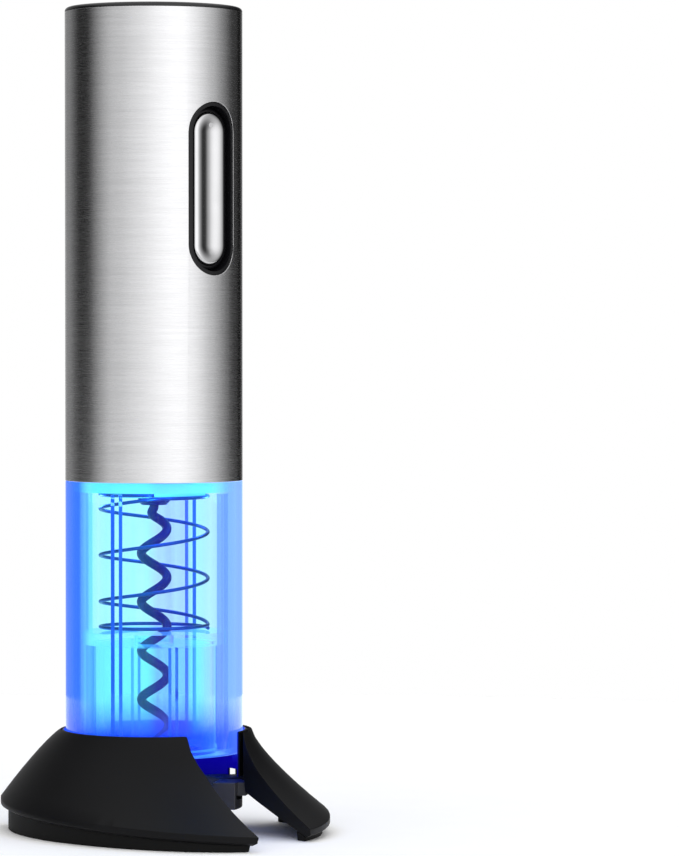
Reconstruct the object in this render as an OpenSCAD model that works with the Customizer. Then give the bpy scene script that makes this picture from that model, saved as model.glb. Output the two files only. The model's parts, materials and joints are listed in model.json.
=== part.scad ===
/* [Handle] */
// Outside diameter of the steel sleeve and the clear tube
tube_d = 50; // [48:0.5:56]
// Wall of the steel sleeve
sleeve_wall = 0.8; // [0.5:0.1:1]
// Height of the round-edged rim of the top cap
cap_rim_h = 1.6; // [1.2:0.1:3]
// Rounding of the rim of the top cap
cap_round = 1.1; // [0.4:0.1:1.1]
// Rise of the top cap's dome
cap_dome = 0.5; // [0:0.1:1]
// Length of the cap's skirt inside the sleeve
cap_skirt = 4; // [3:0.5:5]

/* [Rocker key] */
// Width of the key's slot in the sleeve
slot_w = 17; // [15:0.5:18]
// Height of the key's slot
slot_h = 48.2; // [40:1:50]
// Distance from the top of the sleeve down to the middle of the key
key_drop = 50.2; // [45:1:54]
// Wall of the recessed bezel
bezel_wall = 0.9; // [0.7:0.1:1.2]
// Gap between the key and its bezel
key_gap = 0.3; // [0.25:0.05:0.5]
// Depth of the crown of the key below the sleeve's surface
key_recess = 1.6; // [1:0.1:2]
// Height of the crown of the key over its edge
key_crown = 1.9; // [1:0.1:2]
// Diameter of the key's pin
key_pin_d = 2; // [1.6:0.1:2]

/* [Clear chamber] */
// Length of the clear tube below the sleeve
clear_len = 76.6; // [70:1:90]
// Wall of the clear tube
clear_wall = 2; // [1.6:0.1:2.2]
// Length of the tube's spigot inside the sleeve
spigot_len = 8.6; // [6:0.5:9]
// Number of guide ribs inside the tube
rib_count = 4; // [3:1:6]
// Width of a guide rib
rib_w = 2.5; // [1.5:0.1:3]
// Turn of the first guide rib from the front
rib_phase = -18.7; // [-45:0.1:45]
// Thickness of the tube's bottom lip
lip_t = 1.5; // [1:0.1:2]

/* [Neck guide and spring] */
// Bore that takes a bottle's neck
neck_bore_d = 31.5; // [30:0.5:32]
// Wall of the neck guide
guide_wall = 1.6; // [1.2:0.1:1.8]
// Height of the neck guide
guide_h = 34.1; // [30:0.5:36]
// Thickness of the guide's top flange
flange_t = 3.5; // [2.5:0.1:4]
// Diameter of the return spring's wire
spring_wire_d = 1; // [0.8:0.1:1.2]
// Open turns of the return spring
spring_turns = 3; // [2:1:5]

/* [Worm] */
// Outside diameter of the worm
worm_d = 9.9; // [8.5:0.1:10]
// Diameter of the worm's wire
worm_wire_d = 2.6; // [2:0.1:2.8]
// Pitch of the worm
worm_pitch = 13.8; // [11:0.1:15]
// Height of the worm's tip above the tube's rim
tip_rise = 3.4; // [2:0.1:6]
// Turn of the worm's tip
worm_phase = 200; // [0:5:355]
// Diameter of the worm's hub
hub_d = 9; // [8:0.1:10]

/* [Gearbox] */
// Tooth module of both stages
gear_module = 0.6; // [0.5:0.01:0.62]
// Teeth of each sun
sun_teeth = 12; // [12]
// Teeth of each planet
planet_teeth = 18; // [18]
// Width of the output planets
output_gear_w = 5; // [4:0.5:7]
// Width of the first planets
first_gear_w = 4; // [3:0.5:6]
// Thickness of the planet carriers
carrier_t = 1.8; // [1.2:0.1:2.5]
// Diameter of the planet pins
planet_pin_d = 2; // [1.6:0.1:2.4]
// Diameter of the output shaft
output_shaft_d = 5; // [4:0.1:5.4]
// Wall of the ring gear outside its teeth
ring_wall = 1.9; // [1.4:0.1:2]
// Thickness of the gearbox base
base_t = 3; // [2.5:0.1:4]
// Thickness of the motor plate
motor_plate_t = 2; // [1.8:0.1:3]

/* [Motor] */
// Diameter of the motor can
motor_d = 27.6; // [24:0.1:30]
// Length of the motor can
motor_len = 37.8; // [30:0.1:42]
// Diameter of the motor's shaft
motor_shaft_d = 2; // [1.6:0.1:2.3]
// Thickness of the motor's end cap
end_cap_t = 3; // [2:0.1:5]
// Height of the wiring bay over the motor
wiring_bay = 12.4; // [10:0.1:20]

/* [Cells] */
// Diameter of a cell
cell_d = 14.2; // [13.5:0.1:14.3]
// Length of a cell with its contact
cell_len = 50.2; // [49:0.1:51]
// Height of a contact spring
contact_h = 2; // [1.5:0.1:4]
// Floor of the battery tray
tray_floor = 2; // [1.5:0.1:3]

/* [Inner frame] */
// Wall of the two frame halves
frame_wall = 1.4; // [1:0.1:1.6]
// Diameter of the frame screws
frame_screw_d = 2.5; // [2:0.1:3]

/* [Stand] */
// Height of the collar's top above the floor
collar_top = 29.3; // [28.5:0.1:36]
// Height of the ledge that the tube stands on
ledge_top = 22.7; // [22:0.1:23.5]
// Height of the collar's lower edge
collar_bottom = 8.4; // [7:0.1:9]
// Wall of the collar
collar_wall = 0.9; // [0.7:0.1:1.2]
// Width of the front gap between the wings
front_gap = 20.4; // [16:0.2:22]
// Half width of the wide wing's oval outline in plan
wide_half_w = 38.2; // [37:0.1:44]
// Reach of that oval in front of the tube's axis
wide_front = 59.5; // [50:0.5:62]
// Reach of that oval behind the tube's axis
wide_back = 49.5; // [44:0.5:56]
// Radius of the squeeze arm's outline in plan
arm_radius = 46.3; // [44:0.1:52]
// Distance of the arm's outline centre forward of the tube's axis
arm_forward = 4.9; // [0:0.1:8]
// Height of the lip at the front
lip_front_z = 3.7; // [3.2:0.1:5]
// Height of the lip at the side and back
lip_side_z = 9.5; // [7:0.1:11]
// Height of the lip's edge
lip_edge = 1.7; // [1:0.1:1.8]
// Angle from the front at which the wide wing ends
wide_end = 160; // [140:1:164]
// Angle from the front at which the squeeze arm ends
arm_end = 80; // [74:1:81]
// Inset of the feet under the lip
foot_inset = 2.2; // [1:0.1:3]
// Width of the foot strips
foot_w = 3; // [2:0.1:4]

/* [Foil cutter] */
// Diameter of a cutting wheel
wheel_d = 8; // [7:0.1:8]
// Thickness of a cutting wheel
wheel_t = 0.8; // [0.5:0.1:1]
// Diameter of the circle inside the four wheels
foil_d = 32.4; // [31.8:0.1:33]
// Height of the wheels above the floor
wheel_z = 11; // [10.6:0.1:11.4]
// Diameter of the wheel pins
wheel_pin_d = 2; // [1.6:0.1:2.4]
// Diameter of the arm's hinge pin
hinge_pin_d = 2.5; // [2:0.1:2.6]
// Room for the arm to swing in before it meets the collar
squeeze_room = 1.3; // [1.2:0.1:1.8]

/* [Hidden] */
$fn = 96;

// Clearances
seat = 0.1;
fit = 0.3;
run = 0.05;
eps = 0.01;
sink = 0.2;

// Opener, radii from the outside in
tube_r = tube_d / 2;
sleeve_in = tube_r - sleeve_wall;
spigot_r = sleeve_in - fit;
clear_in = tube_r - clear_wall;
frame_r = sleeve_in - fit;
frame_in = frame_r - frame_wall;
roof_r = clear_in - fit;

// Clear chamber, heights from the floor
tube_z0 = ledge_top + seat;
tube_z1 = tube_z0 + clear_len;
spigot_z1 = tube_z1 + spigot_len;
roof_drop = 2.9;
roof_t = 2.5;
roof_z0 = tube_z1 - roof_drop;
roof_z1 = roof_z0 + roof_t;
board_t = 1.2;
board_boss = 0.6;
led_board_z0 = roof_z1 + board_boss + seat;
roof_rim_w = 1.5;
roof_rim_z1 = led_board_z0 + board_t + 1.3;
led_r = 1.5;
led_circle_r = roof_r - roof_rim_w - 2.5;
led_count = 4;
spring_boss_h = 1.5;

// Neck guide and spring
neck_r = neck_bore_d / 2;
guide_r = neck_r + guide_wall;
rib_in = clear_in - 2.4;
flange_r = rib_in - fit;
lip_in = guide_r + fit;
guide_z0 = tube_z0 + seat;
guide_z1 = guide_z0 + guide_h;
fin_w = 2;
worm_r = worm_d / 2;
worm_hole_r = worm_r + 0.65;
spring_r = neck_r - spring_wire_d / 2 - 0.05;
spring_z0 = guide_z1 + spring_wire_d / 2 + seat;
spring_z1 = roof_z0 - spring_wire_d / 2 - seat;

// Worm
worm_coil_r = worm_r - worm_wire_d / 2;
tip_z = tube_z0 + tip_rise;
hub_r = hub_d / 2;
hub_z0 = roof_z0 - 3.9;

// Gearbox, heights
base_z0 = roof_rim_z1 + seat;
base_z1 = base_z0 + base_t;
hub_z1 = base_z0 - 0.6;
shank_z1 = hub_z0 + 4.4;
output_z0 = base_z1 + 2 * sink;
output_gear_z0 = output_z0 + carrier_t + sink;
output_gear_z1 = output_gear_z0 + output_gear_w;
first_z0 = output_gear_z1 + 2 * sink;
first_gear_z0 = first_z0 + carrier_t + sink;
first_gear_z1 = first_gear_z0 + first_gear_w;
plate_z0 = first_gear_z1 + 0.5;
plate_z1 = plate_z0 + motor_plate_t;

// Gearbox, radii and teeth
ring_teeth = sun_teeth + 2 * planet_teeth;
planet_count = 3;
gear_centre = gear_module * (sun_teeth + planet_teeth) / 2;
ring_pitch_r = gear_module * ring_teeth / 2;
addendum = 0.85 * gear_module;
dedendum = 1.15 * gear_module;
pressure_angle = 20;
tooth_slack = 0.06;
ring_r = ring_pitch_r + dedendum + ring_wall;
planet_pin_r = planet_pin_d / 2;
carrier_r = gear_centre + planet_pin_r + 1.5;
shaft_r = output_shaft_d / 2;
bushing_r = shaft_r + 1.5;
gearbox_screw_r = 1;
gearbox_lug_r = gearbox_screw_r + 1.4;
gearbox_screw_circle = ring_r + gearbox_lug_r;

// Motor
motor_r = motor_d / 2;
motor_shaft_r = motor_shaft_d / 2;
motor_z0 = plate_z1 + seat;
motor_z1 = motor_z0 + motor_len;
motor_boss_r = motor_shaft_r + 2.1;
motor_screw_r = 1.2;
motor_screw_circle = 8;
end_cap_z0 = motor_z1 + seat;
end_cap_z1 = end_cap_z0 + end_cap_t;

// Cells and tray
cell_r = cell_d / 2;
cell_room = 0.3;
cell_web = 0.7;
cell_place = cell_r + cell_room + cell_web / 2;
tray_z0 = end_cap_z1 + wiring_bay;
cell_z0 = tray_z0 + tray_floor + contact_h + seat;
cell_z1 = cell_z0 + cell_len;
cell_nub = 1;
tray_front = cell_place + cell_r + cell_room + 0.75;
contact_t = 0.8;
cap_contact_z0 = cell_z1 + 2 * seat;

// Top cap
cap_z0 = cap_contact_z0 + contact_t + seat;
cap_plate = 1.1;
cap_rim_z0 = cap_z0 + cap_plate;
cap_z1 = cap_rim_z0 + cap_rim_h;
sleeve_z0 = tube_z1 + seat;
sleeve_z1 = cap_rim_z0 - seat;
frame_z0 = spigot_z1 + fit;
frame_z1 = cap_rim_z0 - cap_skirt - fit;

// Rocker key
key_z = sleeve_z1 - key_drop;
bezel_gap = 0.2;
bezel_w = slot_w - 2 * bezel_gap;
bezel_h = slot_h - 2 * bezel_gap;
key_hole_w = bezel_w - 2 * bezel_wall;
key_hole_h = bezel_h - 2 * bezel_wall;
key_w = key_hole_w - 2 * key_gap;
key_h = key_hole_h - 2 * key_gap;
key_front = tube_r - key_recess;
key_edge = key_front - key_crown;
key_back = key_edge - 1.1;
key_pin_r = key_pin_d / 2;
key_pin_y = key_back - key_pin_r - 2 * run;
bezel_back = key_pin_y - key_pin_r - 0.7;
bezel_flange = 1.3;
board_front = tray_front + 2 * seat + board_t;
switch_body = 1.5;
switch_w = 6;
switch_pitch = 26;

// Inner frame
frame_rib_t = 2;
frame_screw_r = frame_screw_d / 2;
frame_boss_r = frame_screw_r + 1.35;
frame_head_r = frame_screw_r + 0.8;
frame_head_t = 1.4;
frame_boss_y = 9;
frame_boss_x = sqrt(pow(frame_in, 2) - pow(frame_boss_y + frame_head_t, 2)) - frame_head_r - fit;
frame_screw_rise = 15;
frame_screw_drop = 3;
frame_screw_z = [motor_z0 + frame_screw_rise, tray_z0 - frame_boss_r - frame_screw_drop];

// Stand
collar_in = tube_r + fit;
collar_r = collar_in + collar_wall;
ledge_in = clear_in + 0.4;
ledge_t = 1.9;
wing_top_r = collar_r + fit;
arm_top_r = collar_r + squeeze_room;
wing_step = 5;
flare_rows = 8;
wing_start = 8;
arm_rise_from = 18;
arm_rise_over = 66;
underside_z = 12.5;
lip_back = 1.6;
lip_under = 2.5;
gap_flare_z = 19;
gap_flare = 3.6;

// Foil cutter
wheel_r = wheel_d / 2;
wheel_place = foil_d / 2 + wheel_r;
wheel_pin_r = wheel_pin_d / 2;
jaw_in = foil_d / 2 + 1.7;
jaw_out = collar_in - 0.4;
jaw_post = 1;
jaw_w = wheel_d + 0.8 + 2 * jaw_post;
jaw_z0 = wheel_z - 3.8;
jaw_z1 = wheel_z + 3.8;
jaw_slot = 2.4;
jaw_stem_w = 6.4;
arm_window_z = jaw_z1 + 1.8;
arm_window_end = arm_end + 1.5;
fixed_wheel_at = [95, 155];
arm_wheel_at = [-35, -72];
hinge_at = -88;
hinge_r = arm_top_r + 2.5;
hinge_pin_r = hinge_pin_d / 2;
knuckle_r = hinge_pin_r + 1.35;
ear_t = 2.4;
ear_low_z = arm_window_z + 0.4;
knuckle_z0 = ear_low_z + ear_t + 2 * sink;
knuckle_z1 = collar_top - ear_t - 2.9 - 2 * sink;
ear_high_z = knuckle_z1 + 2 * sink;

// ---- Shared shapes ----

// Turns a shape so that its +X points at an angle from the front towards the wide wing
module at(angle) {
    rotate([0, 0, -90 - angle]) children();
}

module tube(r_out, r_in, z0, z1) {
    difference() {
        translate([0, 0, z0]) cylinder(r = r_out, h = z1 - z0);
        translate([0, 0, z0 - 1]) cylinder(r = r_in, h = z1 - z0 + 2);
    }
}

module disc(r, z0, z1) {
    translate([0, 0, z0]) cylinder(r = r, h = z1 - z0);
}

// Obround outline that stands upright
module obround(w, h) {
    square([w, h - w], center = true);
    for (s = [-1, 1]) translate([0, s * (h - w) / 2]) circle(d = w);
}

// Obround bar along Y at the height of the key, between two depths
module key_bar(w, h, depth_out, depth_in) {
    translate([0, -depth_in, key_z]) rotate([90, 0, 0])
        linear_extrude(height = depth_out - depth_in) obround(w, h);
}

function circle_point(a, r) = [r * cos(a), r * sin(a)];

// Smooth step from 0 to 1
function ease(t) = t <= 0 ? 0 : t >= 1 ? 1 : t * t * (3 - 2 * t);

// ---- Swept wires ----

// Faces of a tube made of rings of points, closed at both ends
function ring_faces(rings, sides) = concat(
    [[for (k = [0:sides - 1]) k]],
    [for (i = [0:rings - 2], k = [0:sides - 1])
        let (a = i * sides + k, b = i * sides + (k + 1) % sides)
        each [[a, a + sides, b + sides], [a, b + sides, b]]],
    [[for (k = [sides - 1:-1:0]) (rings - 1) * sides + k]]);

// Ring of a wire that winds about Z: turn a, radius r, height z, wire radius w, rise per radian
function coil_ring(a, r, z, w, rise, sides) =
    let (n = [cos(a), sin(a), 0],
        l = sqrt(r * r + rise * rise + eps),
        b = [-rise * sin(a), rise * cos(a), -r] / l)
    [for (k = [0:sides - 1])
        let (c = k * 360 / sides)
        [r * n.x, r * n.y, z] + w * cos(c) * n + w * sin(c) * b];

module coil(turns, step, sides, r, z, w, rise, phase) {
    count = round(turns * 360 / step);
    rings = [for (i = [0:count])
        let (t = i / count)
        each coil_ring(phase + t * turns * 360, r(t), z(t), w(t), rise(t), sides)];
    polyhedron(points = rings, faces = ring_faces(count + 1, sides));
}

// ---- Gears ----

function involute(r, base) = r <= base ? 0
    : let (a = acos(base / r)) tan(a) * 180 / PI - a;

// Gear outline with its first tooth on +X; grow thickens the teeth for an internal cutter
module gear_outline(teeth, add, ded, slack) {
    pitch = gear_module * teeth / 2;
    base = pitch * cos(pressure_angle);
    half = 90 / teeth - slack / pitch * 90 / PI + involute(pitch, base);
    tip = pitch + add;
    root = pitch - ded;
    foot = max(root, base);
    rows = 3;
    flank = [for (i = [0:rows])
        let (r = foot + (tip - foot) * i / rows)
        [half - involute(r, base), r]];
    side = root < foot - eps ? concat([[half, root]], flank) : flank;
    last = len(side) - 1;
    polygon([for (k = [0:teeth - 1])
        let (c = k * 360 / teeth)
        each concat(
            [for (i = [0:last]) circle_point(c - side[i][0], side[i][1])],
            [for (i = [last:-1:0]) circle_point(c + side[i][0], side[i][1])])]);
}

module planet(z0, width, place) {
    rotate([0, 0, place * 360 / planet_count]) translate([gear_centre, 0, z0])
        difference() {
            rotate([0, 0, 180 / planet_teeth]) linear_extrude(height = width)
                gear_outline(planet_teeth, addendum, dedendum, tooth_slack);
            translate([0, 0, -1]) cylinder(r = planet_pin_r + run, h = width + 2, $fn = 48);
        }
}

module planet_pins(z0, z1) {
    for (k = [0:planet_count - 1]) rotate([0, 0, k * 360 / planet_count])
        translate([gear_centre, 0, 0]) disc(planet_pin_r, z0, z1, $fn = 48);
}

module at_gearbox_screws() {
    for (k = [0:2]) rotate([0, 0, 30 + k * 120]) translate([gearbox_screw_circle, 0, 0]) children();
}

// ---- Stand ----

// Lip radius in plan, at an angle from the front
function lip_r(a) = a > 0
    ? 1 / sqrt(pow(sin(a) / wide_half_w, 2) + pow(cos(a) / (a < 90 ? wide_front : wide_back), 2))
    : arm_forward * cos(a) + sqrt(arm_radius * arm_radius - pow(arm_forward * sin(a), 2));

// Lip height: low at the front, rising towards the side and back
function lip_z(a) =
    let (t = (abs(a) - (a > 0 ? wing_start : arm_rise_from)) / (a > 0 ? wide_end - wing_start : arm_rise_over))
    lip_front_z + (lip_side_z - lip_front_z) * pow(max(0, min(1, t)), a > 0 ? 0.75 : 1.4);

function flare_power(a) = 0.95 - 0.35 * cos(a);

// Point of the flared skin, and of its underside, as radius and height
function skin(a, t, top_r) =
    [top_r + (lip_r(a) - top_r) * t,
    collar_top - (collar_top - lip_z(a)) * pow(t, flare_power(a))];

function under_height(a, t) = underside_z - (underside_z - lip_z(a) + lip_under) * pow(t, 0.9);

function underside(a, t, top_r) =
    [top_r + (lip_r(a) - lip_back - top_r) * t, under_height(a, t)];

function under_z(a, r, top_r) = under_height(a, (r - top_r) / (lip_r(a) - lip_back - top_r));

function wing_section(a, top_r) = concat(
    [for (i = [0:flare_rows]) skin(a, pow(i / flare_rows, 1.4), top_r)],
    [[lip_r(a), lip_z(a) - lip_edge]],
    [for (i = [flare_rows:-1:0]) underside(a, pow(i / flare_rows, 1.4), top_r)]);

function foot_section(a, top_r) =
    let (r = lip_r(a) - foot_inset, q = r - foot_w)
    [[r, 0], [r, under_z(a, r, top_r) - seat], [q, under_z(a, q, top_r) - seat], [q, 0]];

// Puts a section of radius and height at an angle from the front
function place_section(a, section) = [for (p = section) [-p[0] * sin(a), -p[0] * cos(a), p[1]]];

// End cap of a section whose skin and underside run side by side, as quads
function strip_cap(n, first) = concat(
    [for (i = [0:flare_rows - 1]) [first + i, first + i + 1, first + n - 2 - i, first + n - 1 - i]],
    [[first + flare_rows, first + flare_rows + 1, first + flare_rows + 2]]);

function flip(faces) = [for (f = faces) [for (i = [len(f) - 1:-1:0]) f[i]]];

function side_faces(rings, n) = [for (i = [0:rings - 2], k = [0:n - 1])
    let (a = i * n + k, b = i * n + (k + 1) % n)
    each [[a, b, b + n], [a, b + n, a + n]]];

// Sweep of sections from one angle to another, cut to the front gap
module swept(sections, caps_first, caps_last) {
    n = len(sections[0]);
    rings = len(sections);
    polyhedron(points = [for (s = sections) each s],
        faces = concat(side_faces(rings, n), flip(caps_first), caps_last));
}

module wing(a0, a1, top_r) {
    count = round((a1 - a0) / wing_step);
    sections = [for (i = [0:count])
        let (a = a0 + (a1 - a0) * i / count)
        place_section(a, wing_section(a, top_r))];
    n = len(sections[0]);
    swept(sections, strip_cap(n, 0), strip_cap(n, count * n));
}

module foot(a0, a1, top_r) {
    count = round((a1 - a0) / wing_step);
    sections = [for (i = [0:count])
        let (a = a0 + (a1 - a0) * i / count)
        place_section(a, foot_section(a, top_r))];
    swept(sections, [[0, 1, 2, 3]], [[for (k = [0:3]) count * 4 + k]]);
}

// The front gap: straight at the top, wider towards the floor
module front_gap_cutter() {
    half = front_gap / 2;
    translate([0, eps, 0]) rotate([90, 0, 0]) linear_extrude(height = wide_front + 10)
        polygon([[-half, collar_top + 5], [-half, gap_flare_z], [-half - gap_flare, 0],
            [-half - gap_flare - 1, -5], [half + gap_flare + 1, -5], [half + gap_flare, 0],
            [half, gap_flare_z], [half, collar_top + 5]]);
}

module hinge_ear(z0) {
    at(hinge_at) difference() {
        union() {
            translate([hinge_r, 0, z0]) cylinder(r = knuckle_r, h = ear_t);
            translate([collar_r - collar_wall / 2, -knuckle_r, z0])
                cube([hinge_r - collar_r + collar_wall / 2, 2 * knuckle_r, ear_t]);
        }
        translate([hinge_r, 0, z0 - 1]) cylinder(r = hinge_pin_r + run, h = ear_t + 2);
    }
}

module stand_collar() {
    color("#141518") {
        difference() {
            rotate_extrude() polygon([[collar_in, collar_bottom], [collar_r, collar_bottom],
                [collar_r, collar_top - 0.3], [collar_r - 0.3, collar_top], [collar_in + 0.3, collar_top],
                [collar_in, collar_top - 0.3], [collar_in, ledge_top], [ledge_in, ledge_top],
                [ledge_in, ledge_top - ledge_t], [collar_in, ledge_top - ledge_t]]);
            translate([-front_gap / 2, -2 * tube_r, 0]) cube([front_gap, 2 * tube_r, collar_top + 1]);
            linear_extrude(height = arm_window_z)
                polygon([[0, 0], [0, -2 * tube_r], [2 * tube_r, -2 * tube_r],
                    2 * tube_r * [sin(arm_window_end), -cos(arm_window_end)]]);
        }
        hinge_ear(ear_low_z);
        hinge_ear(ear_high_z);
    }
}

module wide_wing() {
    color("#17181b") difference() {
        wing(wing_start, wide_end, wing_top_r);
        front_gap_cutter();
    }
}

module wide_foot() {
    color("#0e0f10") difference() {
        foot(wing_start, wide_end - 1, wing_top_r);
        front_gap_cutter();
    }
}

module squeeze_wing() {
    web = hinge_r * sin(-hinge_at - arm_end) + 1.5;
    color("#17181b") {
        difference() {
            wing(-arm_end, -wing_start, arm_top_r);
            front_gap_cutter();
        }
        at(hinge_at) difference() {
            union() {
                translate([hinge_r, 0, knuckle_z0]) cylinder(r = knuckle_r, h = knuckle_z1 - knuckle_z0);
                translate([hinge_r - knuckle_r / 2, -web, knuckle_z0])
                    cube([knuckle_r, web, knuckle_z1 - knuckle_z0]);
            }
            translate([hinge_r, 0, knuckle_z0 - 1])
                cylinder(r = hinge_pin_r + run, h = knuckle_z1 - knuckle_z0 + 2);
        }
    }
}

module squeeze_foot() {
    color("#0e0f10") difference() {
        foot(1 - arm_end, -wing_start, arm_top_r);
        front_gap_cutter();
    }
}

module hinge_pin() {
    color("silver") at(hinge_at) translate([hinge_r, 0, 0])
        disc(hinge_pin_r, ear_low_z, ear_high_z + ear_t + 0.4);
}

// Jaw that holds one wheel between two cheeks, open towards the bottle
module jaw(angle, top) {
    at(angle) difference() {
        intersection() {
            disc(jaw_out, jaw_z0, top);
            translate([jaw_in, -jaw_w / 2, jaw_z0]) cube([jaw_out, jaw_w, top - jaw_z0]);
        }
        translate([jaw_in - 1, jaw_post - jaw_w / 2, wheel_z - jaw_slot / 2])
            cube([jaw_out, jaw_w - 2 * jaw_post, jaw_slot]);
        translate([wheel_place, 0, jaw_z0 - 1]) cylinder(r = wheel_pin_r + run, h = top - jaw_z0 + 2);
    }
}

module wheel_pin(angle) {
    at(angle) translate([wheel_place, 0, 0]) disc(wheel_pin_r, jaw_z0 + seat, jaw_z1 - seat, $fn = 48);
}

module fixed_jaws() {
    color("#1d1e22") for (a = fixed_wheel_at) jaw(a, ledge_top - ledge_t - seat);
}

module arm_jaws() {
    color("#1d1e22") for (a = arm_wheel_at) {
        jaw(a, jaw_z1);
        at(a) translate([jaw_out - 0.8, -jaw_stem_w / 2, wheel_z])
            cube([arm_top_r - fit - jaw_out + 0.5, jaw_stem_w, jaw_z1 - wheel_z]);
    }
}

module fixed_wheel_pins() {
    color("silver") for (a = fixed_wheel_at) wheel_pin(a);
}

module arm_wheel_pins() {
    color("silver") for (a = arm_wheel_at) wheel_pin(a);
}

// Wheel with a sharpened rim and a boss on each side
module cutting_wheel(angle) {
    boss = jaw_slot / 2 - sink;
    color("lightsteelblue") at(angle) translate([wheel_place, 0, wheel_z]) rotate_extrude()
        polygon([[wheel_pin_r + run, -boss], [wheel_pin_r + 0.9, -boss], [wheel_pin_r + 0.9, -wheel_t / 2],
            [wheel_r - 0.7, -wheel_t / 2], [wheel_r, -0.05], [wheel_r, 0.05], [wheel_r - 0.7, wheel_t / 2],
            [wheel_pin_r + 0.9, wheel_t / 2], [wheel_pin_r + 0.9, boss], [wheel_pin_r + run, boss]]);
}

// ---- Clear chamber ----

module clear_tube() {
    color([0.75, 0.85, 1, 0.35]) {
        rotate_extrude() polygon([[lip_in, tube_z0], [tube_r - 0.5, tube_z0], [tube_r, tube_z0 + 0.5],
            [tube_r, tube_z1], [spigot_r, tube_z1], [spigot_r, spigot_z1], [clear_in, spigot_z1],
            [clear_in, tube_z0 + lip_t], [lip_in, tube_z0 + lip_t]]);
        for (k = [0:rib_count - 1]) at(rib_phase + k * 360 / rib_count)
            translate([rib_in, -rib_w / 2, tube_z0 + lip_t - sink])
                cube([clear_in - rib_in + sink, rib_w, roof_z0 - fit - tube_z0 - lip_t + sink]);
    }
}

module neck_guide() {
    color([0.8, 0.9, 1, 0.4]) {
        rotate_extrude() polygon([[neck_r + 1, guide_z0], [guide_r, guide_z0], [guide_r, guide_z1 - flange_t],
            [flange_r, guide_z1 - flange_t], [flange_r, guide_z1 - 0.5], [flange_r - 0.5, guide_z1],
            [worm_hole_r, guide_z1], [worm_hole_r, guide_z1 - flange_t], [neck_r, guide_z1 - flange_t],
            [neck_r, guide_z0 + 1.5]]);
        fin_z0 = tube_z0 + lip_t + seat;
        for (k = [0:rib_count - 1]) at(rib_phase + (k + 0.5) * 360 / rib_count)
            translate([guide_r - sink, -fin_w / 2, fin_z0])
                cube([flange_r - guide_r + sink - eps, fin_w, guide_z1 - flange_t - fin_z0 + sink]);
    }
}

module return_spring() {
    turns = spring_turns + 2;
    closed = spring_wire_d * 1.05;
    open = (spring_z1 - spring_z0 - 2 * closed) / spring_turns;
    color("slategray") coil(turns, 15, 6,
        function (t) spring_r,
        function (t) let (n = t * turns)
            n < 1 ? spring_z0 + n * closed
            : n > turns - 1 ? spring_z1 - (turns - n) * closed
            : spring_z0 + closed + (n - 1) * open,
        function (t) spring_wire_d / 2,
        function (t) open / (2 * PI), 0);
}

// The worm's wire: sharpened tip, even coils, and a shank that runs in to the axis
module worm() {
    shank = worm_pitch * 0.45;
    coil_top = hub_z0 - 0.5;
    turns = (shank_z1 - tip_z) / worm_pitch;
    taper = worm_pitch * 0.55;
    z_at = function (t) tip_z + t * turns * worm_pitch;
    color("#3b3f4a") coil(turns, 15, 10,
        function (t) worm_coil_r * (1 - ease((z_at(t) - coil_top + shank) / shank)),
        z_at,
        function (t) worm_wire_d / 2 * (0.08 + 0.92 * pow(min(1, (z_at(t) - tip_z) / taper), 0.7)),
        function (t) worm_pitch / (2 * PI), worm_phase);
}

module worm_hub() {
    color("#55595f") difference() {
        union() {
            disc(hub_r, hub_z0 + 1, hub_z1);
            translate([0, 0, hub_z0]) cylinder(r1 = hub_r - 1, r2 = hub_r, h = 1);
        }
        disc(worm_wire_d / 2 + run, hub_z0 - 1, shank_z1 + seat);
        disc(shaft_r + run, shank_z1 + seat, hub_z1 + 1);
    }
}

module chamber_roof() {
    color("#d9dde6") difference() {
        union() {
            disc(roof_r, roof_z0, roof_z1);
            tube(roof_r, roof_r - roof_rim_w, roof_z0, roof_rim_z1);
            disc(spring_r - spring_wire_d / 2 - 0.2, roof_z0 - spring_boss_h, roof_z0 + eps);
            for (k = [0:2]) rotate([0, 0, 90 + k * 120]) translate([led_circle_r - 5, 0, 0])
                disc(1.5, roof_z1 - eps, roof_z1 + board_boss, $fn = 32);
        }
        disc(hub_r + 0.7, roof_z0 - spring_boss_h - 1, roof_z1 + 1);
        for (k = [0:led_count - 1]) at(rib_phase + (k + 0.5) * 360 / led_count)
            translate([led_circle_r, 0, 0]) disc(led_r + 0.2, roof_z0 - 1, roof_z1 + 1, $fn = 48);
    }
}

module led_board() {
    color("#1f5a3a") tube(roof_r - roof_rim_w - fit, hub_r + 1.5, led_board_z0, led_board_z0 + board_t);
}

module leds() {
    color("deepskyblue") for (k = [0:led_count - 1]) at(rib_phase + (k + 0.5) * 360 / led_count)
        translate([led_circle_r, 0, 0]) {
            disc(led_r, roof_z0 + led_r, led_board_z0 - seat, $fn = 48);
            translate([0, 0, roof_z0 + led_r]) sphere(r = led_r, $fn = 48);
        }
}

// ---- Gearbox ----

module gearbox_base() {
    color("#8d9096") difference() {
        disc(roof_r, base_z0, base_z1);
        disc(bushing_r + run, base_z0 - 1, base_z1 + 1);
        at_gearbox_screws() disc(gearbox_screw_r + run, base_z0 + 0.5, base_z1 + 1, $fn = 48);
    }
}

module output_bushing() {
    color("goldenrod") tube(bushing_r, shaft_r + run, base_z0 - 0.4, base_z1 + sink);
}

module output_carrier() {
    color("#a6a9ae") {
        disc(carrier_r, output_z0, output_z0 + carrier_t);
        disc(shaft_r, shank_z1 + 2 * seat, output_z0 + eps);
        planet_pins(output_z0, output_gear_z1 + seat);
    }
}

module first_carrier() {
    color("#b9bcc1") {
        disc(carrier_r, first_z0, first_z0 + carrier_t);
        translate([0, 0, output_gear_z0 + seat]) linear_extrude(height = first_z0 - output_gear_z0)
            gear_outline(sun_teeth, addendum, dedendum, tooth_slack);
        planet_pins(first_z0, first_gear_z1 + seat);
    }
}

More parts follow.
